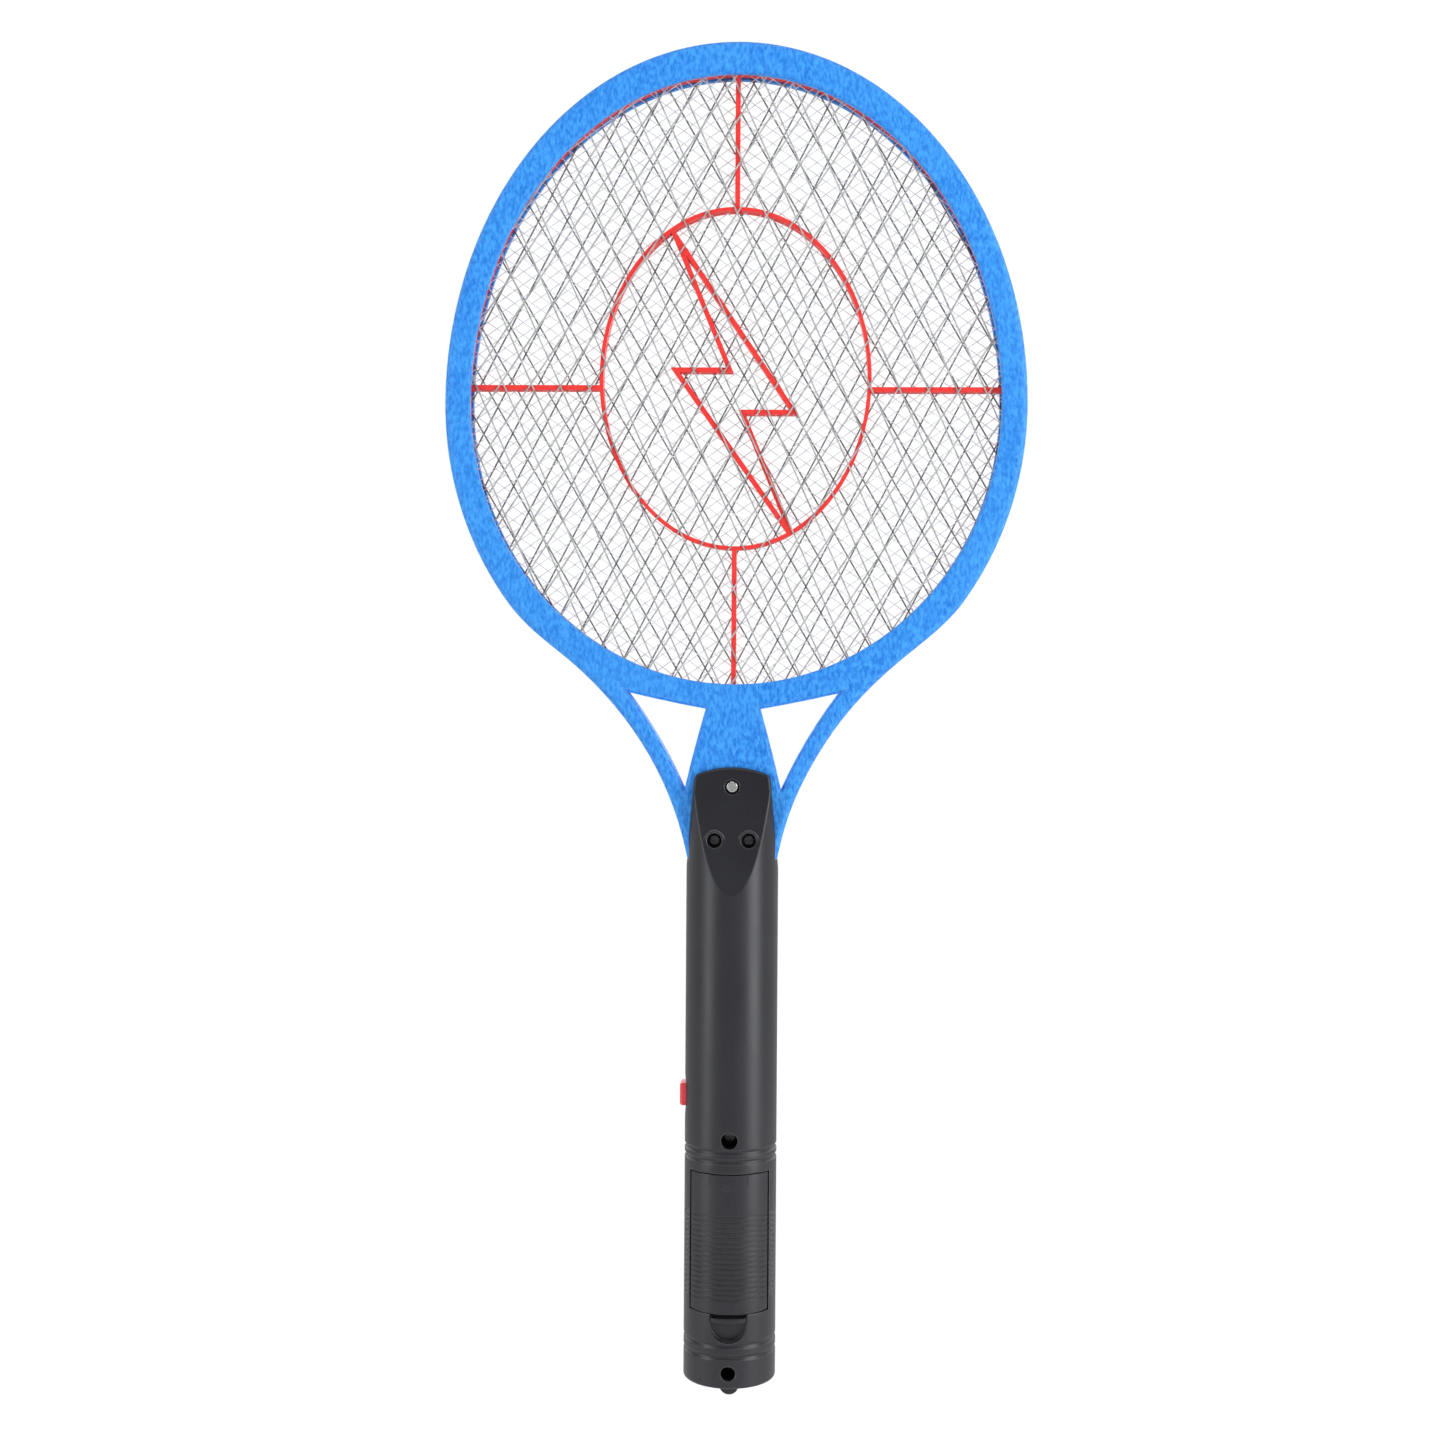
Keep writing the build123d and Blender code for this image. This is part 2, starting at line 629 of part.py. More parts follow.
# hollow above the bore, tapering with the facets
low_y = FACET_LOW[0] - FACET_WALL
roof_y = FACET_HIGH[0] + facet_slope * (FACET_HIGH[1] - NECK_ROOF_Z) - FACET_WALL
with BuildPart() as neck_hollow:
    with BuildSketch(Plane.YZ):
        with BuildLine():
            Polyline(
                (-low_y, BORE_TOP_Z - 1),
                (-roof_y, NECK_ROOF_Z),
                (roof_y, NECK_ROOF_Z),
                (low_y, BORE_TOP_Z - 1),
                close=True,
            )
        make_face()
    extrude(amount=NECK_HOLLOW_HALF, both=True)
    with Locations((0, 0, BORE_TOP_Z - 1)):
        Cylinder(HANDLE_BORE, NECK_ROOF_Z - BORE_TOP_Z + 1, align=MIN_Z, mode=Mode.INTERSECT)

with BuildPart() as handle_body:
    add(handle_envelope.part)
    # ring grooves round the ends of the grip, and the scoop beside the trigger
    for groove_z in GROOVE_Z:
        with Locations((0, 0, groove_z)):
            Torus(HANDLE_R + GROOVE_R - GROOVE_DEEP, GROOVE_R, mode=Mode.SUBTRACT)
    scoop_r = ((SCOOP_LONG / 2) ** 2 + SCOOP_DEEP**2) / (2 * SCOOP_DEEP)
    with BuildSketch(Plane.XZ):
        with Locations((SCOOP_DEEP - HANDLE_R - scoop_r, BUTTON_Z)):
            Circle(scoop_r)
    extrude(amount=HANDLE_R, both=True, mode=Mode.SUBTRACT)
    # main bore, closed by the end wall
    with Locations((0, 0, HANDLE_END_Z + END_WALL)):
        Cylinder(
            HANDLE_BORE, BORE_TOP_Z - HANDLE_END_Z - END_WALL, align=MIN_Z, mode=Mode.SUBTRACT
        )
    # room for the frame's tongue and arms between the two shells
    with Locations((0, 0, FORK_END_Z - 0.05)):
        Box(60, 2 * slab_y, 60, align=MIN_Z, mode=Mode.SUBTRACT)
    add(neck_hollow.part, mode=Mode.SUBTRACT)
    # bulkheads of the battery bay
    with Locations((0, 0, BAY_LOW_Z - BULKHEAD), (0, 0, BAY_HIGH_Z)):
        Cylinder(HANDLE_BORE + 0.5, BULKHEAD, align=MIN_Z)
    # screw columns
    with BuildSketch(Plane.XZ):
        with Locations(*screw_xz[3:]):
            Circle(BOSS_R)
    extrude(amount=HANDLE_BORE + 0.4, both=True)
    for side in (-1, 1):
        with BuildSketch(at_depth(side * slab_y)):
            with Locations(*screw_xz[1:3]):
                Circle(BOSS_R - 0.6)
        extrude(amount=-side * 7.0)
    # holes for the battery wires
    with Locations(
        (-BATTERY_LEAD_X, BATTERY_LEAD_Y, BAY_HIGH_Z - 1),
        (BATTERY_LEAD_X, BATTERY_LEAD_Y, BAY_HIGH_Z - 1),
    ):
        Cylinder(LEAD_R + 0.2, BULKHEAD + 2, align=MIN_Z, mode=Mode.SUBTRACT)
    # opening for the trigger
    with Locations((-HANDLE_R, 0, BUTTON_Z)):
        Box(
            8,
            2 * (BUTTON_HALF + BUTTON_GAP),
            BUTTON_LONG + 2 * BUTTON_GAP,
            mode=Mode.SUBTRACT,
        )

with BuildPart() as handle_shell_front:
    add(handle_body.part)
    add(half_space(front=True), mode=Mode.INTERSECT)
    # battery opening
    with Locations((0, 0, OPENING_LOW_Z)):
        Box(
            2 * OPENING_HALF,
            40,
            OPENING_HIGH_Z - OPENING_LOW_Z,
            align=(Align.CENTER, Align.MAX, Align.MIN),
            mode=Mode.SUBTRACT,
        )
    # thumb recess: a walled pocket whose top runs into the battery opening
    with BuildSketch(at_depth(LATCH_SPACE_Y + RECESS_WALL)):
        add(recess_outline(RECESS_WALL))
    extrude(amount=4.0)
    with BuildSketch(at_depth(RECESS_FLOOR_Y)):
        add(recess_outline())
    extrude(amount=10, mode=Mode.SUBTRACT)
    with Locations((0, LATCH_SPACE_Y, RECESS_Z)):
        Box(
            2 * RECESS_HALF,
            10,
            OPENING_LOW_Z - RECESS_Z,
            align=(Align.CENTER, Align.MAX, Align.MIN),
            mode=Mode.SUBTRACT,
        )
    # sunk screw holes
    for x, z, sink_r, seat_y, _ in SCREW_SPOTS.values():
        with BuildSketch(at_depth(seat_y)):
            with Locations((x, z)):
                Circle(sink_r)
        extrude(amount=30, mode=Mode.SUBTRACT)
        with BuildSketch(at_depth(0)):
            with Locations((x, z)):
                Circle(SHANK_R + SHANK_CLEARANCE)
        extrude(amount=30, mode=Mode.SUBTRACT)
    # grip grooves on the flanks, in line with those of the cover
    add(grip_cutter, mode=Mode.SUBTRACT)
    # the lug belongs to the rear shell and passes through the end wall here
    Box(2 * LUG_R + 0.2, 2 * LUG_HALF_THICK + 0.2, 40, mode=Mode.SUBTRACT)
handle_shell_front.part.label = "handle_shell_front"
export_step(handle_shell_front.part, "parts/handle_shell_front.step")

with BuildPart() as handle_shell_rear:
    add(handle_body.part)
    add(half_space(front=False), mode=Mode.INTERSECT)
    # threaded pilots for the screws
    for x, z, _, _, tip_y in SCREW_SPOTS.values():
        with BuildSketch(at_depth(tip_y + 0.3)):
            with Locations((x, z)):
                Circle(SHANK_R + 0.05)
        extrude(amount=tip_y + 1, mode=Mode.SUBTRACT)
    # lanyard lug: a round-ended tab in the middle of the end, drilled from front to back
    with BuildSketch(Plane.XZ):
        with Locations((0, LUG_R)):
            Circle(LUG_R)
        with Locations((0, (LUG_R + HANDLE_END_Z + END_WALL) / 2)):
            Rectangle(2 * LUG_R, HANDLE_END_Z + END_WALL - LUG_R)
    extrude(amount=LUG_HALF_THICK, both=True)
    with BuildSketch(Plane.XZ):
        with Locations((0, LUG_R)):
            Circle(LUG_HOLE_R)
    extrude(amount=LUG_HALF_THICK + 1, both=True, mode=Mode.SUBTRACT)
    # ledges that carry the circuit board
    for ledge_z in BOARD_LEDGES_Z:
        with BuildSketch(at_depth(BOARD_FRONT_Y + BOARD_THICK)):
            with Locations((0, ledge_z)):
                Rectangle(2 * LEDGE_HALF, LEDGE_THICK)
        extrude(amount=-10.5)
handle_shell_rear.part.label = "handle_shell_rear"
export_step(handle_shell_rear.part, "parts/handle_shell_rear.step")

# ---- battery cover and its latch ----------------------------------------------------------
with BuildPart() as battery_cover:
    with Locations((0, 0, OPENING_LOW_Z - 1)):
        Cylinder(HANDLE_R, COVER_HIGH_Z - OPENING_LOW_Z + 1, align=MIN_Z)
        Cylinder(
            COVER_INNER_R, COVER_HIGH_Z - OPENING_LOW_Z + 1, align=MIN_Z, mode=Mode.SUBTRACT
        )
    Box(
        2 * COVER_HALF, 60, 200, align=(Align.CENTER, Align.MAX, Align.MIN), mode=Mode.INTERSECT
    )
    # the lower end is an arc about the pivot, so that it clears the opening as it swings
    with BuildSketch(Plane.YZ):
        with Locations((COVER_PIVOT_Y, COVER_HIGH_Z)):
            Circle(COVER_REACH)
    extrude(amount=30, both=True, mode=Mode.INTERSECT)
    # hooks behind the upper edge of the opening, and the ribs that carry them
    for x in (-HOOK_X, HOOK_X):
        with Locations((x, HOOK_Y, COVER_HIGH_Z - HOOK_DROP)):
            Box(2 * HOOK_HALF, HOOK_THICK, HOOK_HIGH, align=MIN_Z)
        with Locations((x, HOOK_RIB_Y, COVER_HIGH_Z - HOOK_DROP)):
            Box(2 * HOOK_HALF, HOOK_RIB_DEEP, HOOK_RIB_HIGH, align=MIN_Z)
    # grip grooves
    add(grip_cutter, mode=Mode.SUBTRACT)
battery_cover.part.label = "battery_cover"
export_step(battery_cover.part, "parts/battery_cover.step")

with BuildPart() as battery_cover_latch:
    # ridge that the thumb pushes up
    with Locations((0, LATCH_RIDGE_Y, RECESS_Z + 0.3)):
        Box(2 * LATCH_HALF, LATCH_RIDGE, LATCH_RIDGE, align=MIN_Z)
    with Locations((0, 0, RECESS_Z)):
        Cylinder(HANDLE_R - 0.15, 5, align=MIN_Z, mode=Mode.INTERSECT)
    fillet(battery_cover_latch.faces().sort_by(Axis.Y)[0].edges(), radius=0.4)
    # web and leaf that run up behind the cover
    with Locations((0, LATCH_LEAF_Y - 1.0, RECESS_Z + 0.5)):
        Box(2 * LATCH_HALF - 2, 3.0, LATCH_WEB, align=MIN_Z)
    with Locations((0, LATCH_LEAF_Y, RECESS_Z + 0.5)):
        Box(2 * LATCH_HALF - 2, LATCH_LEAF, LATCH_LEAF_HIGH, align=MIN_Z)
battery_cover_latch.part.label = "battery_cover_latch"
export_step(battery_cover_latch.part, "parts/battery_cover_latch.step")

# ---- trigger ------------------------------------------------------------------------------
with BuildPart() as trigger_button:
    with Locations((BUTTON_TIP_X, 0, BUTTON_Z)):
        Box(
            STEM_END_X - BUTTON_TIP_X,
            2 * BUTTON_HALF,
            BUTTON_LONG,
            align=(Align.MIN, Align.CENTER, Align.CENTER),
        )
    tip_edges = trigger_button.faces().sort_by(Axis.X)[0].edges()
    fillet(tip_edges, radius=1.0)
    with Locations((BUTTON_FLANGE_X, 0, BUTTON_Z)):
        Box(
            BUTTON_FLANGE,
            2 * (BUTTON_HALF + BUTTON_FLANGE),
            BUTTON_LONG + 2 * BUTTON_FLANGE,
            align=(Align.MIN, Align.CENTER, Align.CENTER),
        )
trigger_button.part.label = "trigger_button"
export_step(trigger_button.part, "parts/trigger_button.step")

with BuildPart() as push_switch_body:
    with Locations((SWITCH_LEFT_X, SWITCH_Y, BUTTON_Z)):
        Box(
            SWITCH_LONG,
            2 * SWITCH_HALF,
            2 * SWITCH_HALF,
            align=(Align.MIN, Align.CENTER, Align.CENTER),
        )
    chamfer(push_switch_body.edges().filter_by(Axis.X), length=0.4)
    with BuildSketch(Plane.YZ.offset(SWITCH_LEFT_X)):
        with Locations((SWITCH_Y, BUTTON_Z)):
            Circle(PLUNGER_R + PLUNGER_CLEARANCE)
    extrude(amount=PLUNGER_SINK + BUTTON_TRAVEL + 0.2, mode=Mode.SUBTRACT)
push_switch_body.part.label = "push_switch_body"
export_step(push_switch_body.part, "parts/push_switch_body.step")

with BuildPart() as push_switch_plunger:
    with BuildSketch(Plane.YZ.offset(STEM_END_X + 0.05)):
        with Locations((SWITCH_Y, BUTTON_Z)):
            Circle(PLUNGER_R)
    extrude(amount=SWITCH_LEFT_X + PLUNGER_SINK - STEM_END_X)
    chamfer(push_switch_plunger.faces().sort_by(Axis.X)[0].edges(), length=0.3)
push_switch_plunger.part.label = "push_switch_plunger"
export_step(push_switch_plunger.part, "parts/push_switch_plunger.step")

# ---- circuit board and what is soldered to it ---------------------------------------------
with BuildPart() as circuit_board:
    with BuildSketch(at_depth(BOARD_FRONT_Y + BOARD_THICK)):
        with Locations((0, (BOARD_LOW_Z + BOARD_HIGH_Z) / 2)):
            RectangleRounded(2 * BOARD_HALF, BOARD_HIGH_Z - BOARD_LOW_Z, 1.0)
        # notch that the trigger's flange moves into
        with Locations((-BOARD_HALF, BUTTON_Z)):
            Rectangle(2 * NOTCH_DEEP, BUTTON_LONG + 4.0, mode=Mode.SUBTRACT)
    extrude(amount=BOARD_THICK)
circuit_board.part.label = "circuit_board"
export_step(circuit_board.part, "parts/circuit_board.step")


def on_board(x, z, wide, high, deep, lift=0.0):
    """Box on the front of the board, centred on x and z."""
    placing = (Align.CENTER, Align.MAX, Align.CENTER)
    block = Box(wide, deep, high, align=placing, mode=Mode.PRIVATE)
    return block.translate((x, BOARD_FRONT_Y - lift, z))


def on_board_can(x, z, r, long, lift):
    """Round body lying along the board with a lead at each end."""
    body = Cylinder(r, long, mode=Mode.PRIVATE)
    lead = Cylinder(AXIAL_LEAD_R, long + 2 * AXIAL_LEAD_LONG, mode=Mode.PRIVATE)
    return (body + lead).translate((x, BOARD_FRONT_Y - lift, z))


limb_lift = CORE_LIFT + (CORE_DEEP - CORE_MIDDLE_LIMB) / 2
with BuildPart() as transformer_core:
    for side in (-1, 1):
        yoke_z = TRANSFORMER_Z + side * (CORE_LIMB_LONG / 2 + 1.0)
        add(on_board(0, yoke_z, CORE_WIDE, CORE_YOKE, CORE_DEEP, CORE_LIFT))
        limb_x = side * (CORE_WIDE - CORE_SIDE_LIMB) / 2
        add(
            on_board(
                limb_x, TRANSFORMER_Z, CORE_SIDE_LIMB, CORE_LIMB_LONG, CORE_DEEP, CORE_LIFT
            )
        )
    add(
        on_board(
            0, TRANSFORMER_Z, CORE_MIDDLE_LIMB, CORE_LIMB_LONG, CORE_MIDDLE_LIMB, limb_lift
        )
    )
transformer_core.part.label = "transformer_core"
export_step(transformer_core.part, "parts/transformer_core.step")

with BuildPart() as transformer_winding:
    with BuildSketch(Plane.XY.offset(TRANSFORMER_Z - WINDING_LONG / 2)):
        with Locations((0, BOARD_FRONT_Y - CORE_LIFT - CORE_DEEP / 2)):
            RectangleRounded(WINDING_WIDE, WINDING_DEEP, 1.8)
            Rectangle(CORE_MIDDLE_LIMB + 0.2, CORE_MIDDLE_LIMB + 0.2, mode=Mode.SUBTRACT)
    extrude(amount=WINDING_LONG)
transformer_winding.part.label = "transformer_winding"
export_step(transformer_winding.part, "parts/transformer_winding.step")

with BuildPart() as high_voltage_capacitor:
    add(on_board(0, CAPACITOR_Z, CAPACITOR_WIDE, CAPACITOR_HIGH, CAPACITOR_DEEP, lift=0.3))
    fillet(high_voltage_capacitor.edges(), radius=1.2)
    for x in (-CAPACITOR_LEG_X, CAPACITOR_LEG_X):
        add(on_board(x, CAPACITOR_Z - 7.0, 0.7, 3.4, 0.7, lift=1.2))
high_voltage_capacitor.part.label = "high_voltage_capacitor"
export_step(high_voltage_capacitor.part, "parts/high_voltage_capacitor.step")

with BuildPart() as rectifier_diodes:
    for x in DIODE_SPOTS_X:
        add(on_board_can(x, DIODE_Z, DIODE_R, DIODE_LONG, DIODE_R + 0.2))
rectifier_diodes.part.label = "rectifier_diodes"
export_step(rectifier_diodes.part, "parts/rectifier_diodes.step")

with BuildPart() as resistors:
    for x in RESISTOR_SPOTS_X:
        add(on_board_can(x, RESISTOR_Z, RESISTOR_R, RESISTOR_LONG, RESISTOR_R + 0.2))
resistors.part.label = "resistors"
export_step(resistors.part, "parts/resistors.step")

with BuildPart() as transistor:
    with BuildSketch(Plane.XY.offset(TRANSISTOR_LOW_Z)):
        with Locations((TRANSISTOR_X, BOARD_FRONT_Y - 2.6)):
            Circle(TRANSISTOR_R)
            Rectangle(5, 5, align=(Align.CENTER, Align.MIN), mode=Mode.INTERSECT)
        with Locations((TRANSISTOR_X, BOARD_FRONT_Y - 2.8)):
            Rectangle(4.2, 1.6)
    extrude(amount=TRANSISTOR_HIGH)
    for leg in (-1, 0, 1):
        leg_x = TRANSISTOR_X + leg * TRANSISTOR_LEG_PITCH
        with Locations((leg_x, BOARD_FRONT_Y - 1.6, TRANSISTOR_LOW_Z - 2.6)):
            Box(0.45, 0.4, 2.8, align=MIN_Z)
transistor.part.label = "transistor"
export_step(transistor.part, "parts/transistor.step")

# ---- cells and contacts -------------------------------------------------------------------
left_cell_shape = cell(-CELL_X, LEFT_CELL_LOW, up=True)
right_cell_shape = cell(CELL_X, RIGHT_CELL_LOW, up=False)
lower_spring_shape = coil_spring(-CELL_X, BAY_LOW_Z + CONTACT, LEFT_CELL_LOW - BAY_LOW_Z - CONTACT)
upper_spring_shape = coil_spring(CELL_X, RIGHT_CELL_HIGH, BAY_HIGH_Z - CONTACT - RIGHT_CELL_HIGH)

with BuildPart() as battery_cell_left:
    add(left_cell_shape)
battery_cell_left.part.label = "battery_cell_left"
export_step(battery_cell_left.part, "parts/battery_cell_left.step")

with BuildPart() as battery_cell_right:
    add(right_cell_shape)
battery_cell_right.part.label = "battery_cell_right"
export_step(battery_cell_right.part, "parts/battery_cell_right.step")

with BuildPart() as lower_contact:
    with Locations((0, 0, BAY_LOW_Z)):
        Box(26.0, 8.0, CONTACT, align=MIN_Z)
    with Locations((CELL_X, 0, BAY_LOW_Z)):
        Cylinder(CONTACT_NUB_R, RIGHT_CELL_LOW - BAY_LOW_Z, align=MIN_Z)
lower_contact.part.label = "lower_contact"
export_step(lower_contact.part, "parts/lower_contact.step")

with BuildPart() as upper_contact_positive:
    with Locations((-CELL_X, 0, BAY_HIGH_Z - CONTACT)):
        Box(CONTACT_WIDE, CONTACT_DEEP, CONTACT, align=MIN_Z)
    with Locations((-CELL_X, 0, LEFT_CELL_HIGH)):
        Cylinder(CONTACT_NUB_R, BAY_HIGH_Z - LEFT_CELL_HIGH, align=MIN_Z)
upper_contact_positive.part.label = "upper_contact_positive"
export_step(upper_contact_positive.part, "parts/upper_contact_positive.step")

with BuildPart() as upper_contact_negative:
    with Locations((CELL_X, 0, BAY_HIGH_Z - CONTACT)):
        Box(CONTACT_WIDE, CONTACT_DEEP, CONTACT, align=MIN_Z)
upper_contact_negative.part.label = "upper_contact_negative"
export_step(upper_contact_negative.part, "parts/upper_contact_negative.step")

with BuildPart() as lower_spring:
    add(lower_spring_shape)
lower_spring.part.label = "lower_spring"
export_step(lower_spring.part, "parts/lower_spring.step")

with BuildPart() as upper_spring:
    add(upper_spring_shape)
upper_spring.part.label = "upper_spring"
export_step(upper_spring.part, "parts/upper_spring.step")

# ---- leads --------------------------------------------------------------------------------
def head_lead(x, top_z):
    """Insulated lead from the board up the channel in the tongue."""
    with BuildPart() as lead:
        with BuildLine() as path:
            Polyline(
                (x, BOARD_FRONT_Y - LEAD_R - 0.1, BOARD_HIGH_Z - 5),
                (x, BOARD_FRONT_Y - LEAD_R - 0.1, BOARD_HIGH_Z + 1),
                (x, 0, BOARD_HIGH_Z + 7),
                (x, 0, top_z),
            )
            fillet(path.vertices(), radius=2.0)
        with BuildSketch(Plane.XY.offset(BOARD_HIGH_Z - 5)):
            with Locations((x, BOARD_FRONT_Y - LEAD_R - 0.1)):
                Circle(LEAD_R)
        sweep(path=path.wires()[0])
    return lead.part


high_voltage_lead_shape = head_lead(LEAD_X, LEAD_TOP_Z - 0.05)
ground_lead_shape = head_lead(-LEAD_X, STRAP_LOW_Z - 0.05)

with BuildPart() as high_voltage_lead:
    add(high_voltage_lead_shape)
high_voltage_lead.part.label = "high_voltage_lead"
export_step(high_voltage_lead.part, "parts/high_voltage_lead.step")

with BuildPart() as ground_lead:
    add(ground_lead_shape)
ground_lead.part.label = "ground_lead"
export_step(ground_lead.part, "parts/ground_lead.step")

with BuildPart() as mesh_strap:
    with Locations((-LEAD_X, 0, STRAP_LOW_Z)):
        Box(STRAP_WIDE, 2 * LIP_INNER_Y - 0.2, STRAP_THICK, align=MIN_Z)
    for side in (-1, 1):
        with Locations((-LEAD_X, side * (LIP_INNER_Y - MESH_THICK / 2 - 0.1), STRAP_LOW_Z)):
            Box(STRAP_WIDE, STRAP_THICK, LEAD_TOP_Z - STRAP_LOW_Z - 0.05, align=MIN_Z)
mesh_strap.part.label = "mesh_strap"
export_step(mesh_strap.part, "parts/mesh_strap.step")

# the bulkhead between the bay and the board is pierced for these two wires
with BuildPart() as battery_lead_positive:
    with Locations((-BATTERY_LEAD_X, BATTERY_LEAD_Y, BAY_HIGH_Z - 3)):
        Cylinder(LEAD_R, BOARD_LOW_Z + 6 - BAY_HIGH_Z, align=MIN_Z)
battery_lead_positive.part.label = "battery_lead_positive"
export_step(battery_lead_positive.part, "parts/battery_lead_positive.step")

with BuildPart() as battery_lead_negative:
    with Locations((BATTERY_LEAD_X, BATTERY_LEAD_Y, BAY_HIGH_Z - 3)):
        Cylinder(LEAD_R, BOARD_LOW_Z + 6 - BAY_HIGH_Z, align=MIN_Z)
battery_lead_negative.part.label = "battery_lead_negative"
export_step(battery_lead_negative.part, "parts/battery_lead_negative.step")

# ---- screws -------------------------------------------------------------------------------
screw_shapes = {name: pan_screw(*spot) for name, spot in SCREW_SPOTS.items()}

with BuildPart() as neck_screw_centre:
    add(screw_shapes["neck_screw_centre"])
neck_screw_centre.part.label = "neck_screw_centre"
export_step(neck_screw_centre.part, "parts/neck_screw_centre.step")

with BuildPart() as neck_screw_left:
    add(screw_shapes["neck_screw_left"])
neck_screw_left.part.label = "neck_screw_left"
export_step(neck_screw_left.part, "parts/neck_screw_left.step")

with BuildPart() as neck_screw_right:
    add(screw_shapes["neck_screw_right"])
neck_screw_right.part.label = "neck_screw_right"
export_step(neck_screw_right.part, "parts/neck_screw_right.step")

with BuildPart() as handle_screw_upper:
    add(screw_shapes["handle_screw_upper"])
handle_screw_upper.part.label = "handle_screw_upper"
export_step(handle_screw_upper.part, "parts/handle_screw_upper.step")

with BuildPart() as handle_screw_lower:
    add(screw_shapes["handle_screw_lower"])
handle_screw_lower.part.label = "handle_screw_lower"
export_step(handle_screw_lower.part, "parts/handle_screw_lower.step")
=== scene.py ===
import math

import bpy
from mathutils import Matrix, Vector


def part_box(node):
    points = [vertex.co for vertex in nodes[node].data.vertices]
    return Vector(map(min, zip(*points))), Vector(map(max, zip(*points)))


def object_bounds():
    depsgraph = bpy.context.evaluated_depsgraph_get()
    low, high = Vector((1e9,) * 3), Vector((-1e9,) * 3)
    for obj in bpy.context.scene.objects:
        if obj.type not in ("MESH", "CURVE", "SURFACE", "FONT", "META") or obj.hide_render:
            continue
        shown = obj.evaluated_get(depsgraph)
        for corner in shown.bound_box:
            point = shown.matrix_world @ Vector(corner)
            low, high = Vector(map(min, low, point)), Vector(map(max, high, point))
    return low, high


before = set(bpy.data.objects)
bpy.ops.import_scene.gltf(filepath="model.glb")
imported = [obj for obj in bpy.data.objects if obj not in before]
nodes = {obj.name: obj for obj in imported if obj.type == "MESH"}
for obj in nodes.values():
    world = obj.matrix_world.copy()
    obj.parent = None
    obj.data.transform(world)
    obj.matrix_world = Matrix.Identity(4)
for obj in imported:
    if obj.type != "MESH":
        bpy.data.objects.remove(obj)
cad_low, cad_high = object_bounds()

scene = bpy.context.scene
scene.view_settings.view_transform = "Standard"
scene.view_settings.look = "None"

WHITE = (1, 1, 1, 1)
SEEN_WHITE = 1.02  # what the camera sees of the floor and the backdrop: just over plain white

# lengths in the materials are in metres; noise scales are features per metre
NOISE_LOW = 0.3  # Blender's noise stays mostly between these two values
NOISE_HIGH = 0.7
GRAIN_LOW = 0.34  # the noise values at which a plastic's grain reaches its two tones
GRAIN_HIGH = 0.66
GRAIN_BUMP = 0.6
DRIFT_SCALE = 28.0  # slow change of colour and gloss over a moulding
SCRATCH_SCALE = 900.0
SCRATCH_STRETCH = (1.0, 1.0, 0.12)  # scratches run along the racket
SCRATCH_SHARE = 0.35
SCRATCH_POWER = 3.0  # keeps only the strongest scratches
EDGE_SAMPLES = 6
EDGE_DOT_START = 0.99  # the painted edge highlight starts where the rounded normal leans this much
EDGE_DOT_FULL = 0.86
LEAST_EDGE_HIGHLIGHT = 0.35  # how much of the painted edge highlight shows where the slow drift is lowest
PLASTIC_SPECULAR = 0.5
PLASTIC_GLOSS_SPREAD = (-0.04, 0.05)  # round a plastic's roughness
METAL_GLOSS_SPREAD = (-0.08, 0.10)
METAL_BUMP = 0.4
PATCH_SHARE = 0.55


# ---- node materials ------------------------------------------------------------------------
def new_material(name):
    mat = bpy.data.materials.new(name)
    mat.use_nodes = True
    tree = mat.node_tree
    shader = tree.nodes["Principled BSDF"]
    return mat, tree, shader


def object_space(tree, stretch=(1.0, 1.0, 1.0)):
    """Texture coordinates in metres, stretched per axis."""
    coord = tree.nodes.new("ShaderNodeTexCoord")
    mapping = tree.nodes.new("ShaderNodeMapping")
    mapping.inputs["Scale"].default_value = stretch
    tree.links.new(coord.outputs["Object"], mapping.inputs["Vector"])
    return mapping.outputs["Vector"]


def noise(tree, vector, scale, detail=3.0, roughness=0.55):
    node = tree.nodes.new("ShaderNodeTexNoise")
    node.inputs["Scale"].default_value = scale
    node.inputs["Detail"].default_value = detail
    node.inputs["Roughness"].default_value = roughness
    tree.links.new(vector, node.inputs["Vector"])
    return node.outputs["Fac"]


def ramp(tree, value, low, high, start=NOISE_LOW, end=NOISE_HIGH):
    node = tree.nodes.new("ShaderNodeValToRGB")
    node.color_ramp.elements[0].position = start
    node.color_ramp.elements[0].color = (*low, 1)
    node.color_ramp.elements[1].position = end
    node.color_ramp.elements[1].color = (*high, 1)
    tree.links.new(value, node.inputs["Fac"])
    return node.outputs["Color"]


def remap(tree, value, low, high):
    """Noise value stretched to run from low to high."""
    node = tree.nodes.new("ShaderNodeMapRange")
    node.inputs["From Min"].default_value = NOISE_LOW
    node.inputs["From Max"].default_value = NOISE_HIGH
    node.inputs["To Min"].default_value = low
    node.inputs["To Max"].default_value = high
    tree.links.new(value, node.inputs["Value"])
    return node.outputs["Result"]


def math_node(tree, operation, first, second=None):
    """Math node; the first value is a socket, the second a socket or a number."""
    node = tree.nodes.new("ShaderNodeMath")
    node.operation = operation
    tree.links.new(first, node.inputs[0])
    if hasattr(second, "node"):
        tree.links.new(second, node.inputs[1])
    elif second is not None:
        node.inputs[1].default_value = second
    return node.outputs[0]


def mix_colour(tree, factor, base, over):
    """Base colour, a socket, with another colour over it by a factor, a socket."""
    node = tree.nodes.new("ShaderNodeMix")
    node.data_type = "RGBA"
    tree.links.new(factor, node.inputs[0])
    base_socket, over_socket = [s for s in node.inputs if s.type == "RGBA"]
    tree.links.new(base, base_socket)
    over_socket.default_value = (*over, 1)
    return next(s for s in node.outputs if s.type == "RGBA")


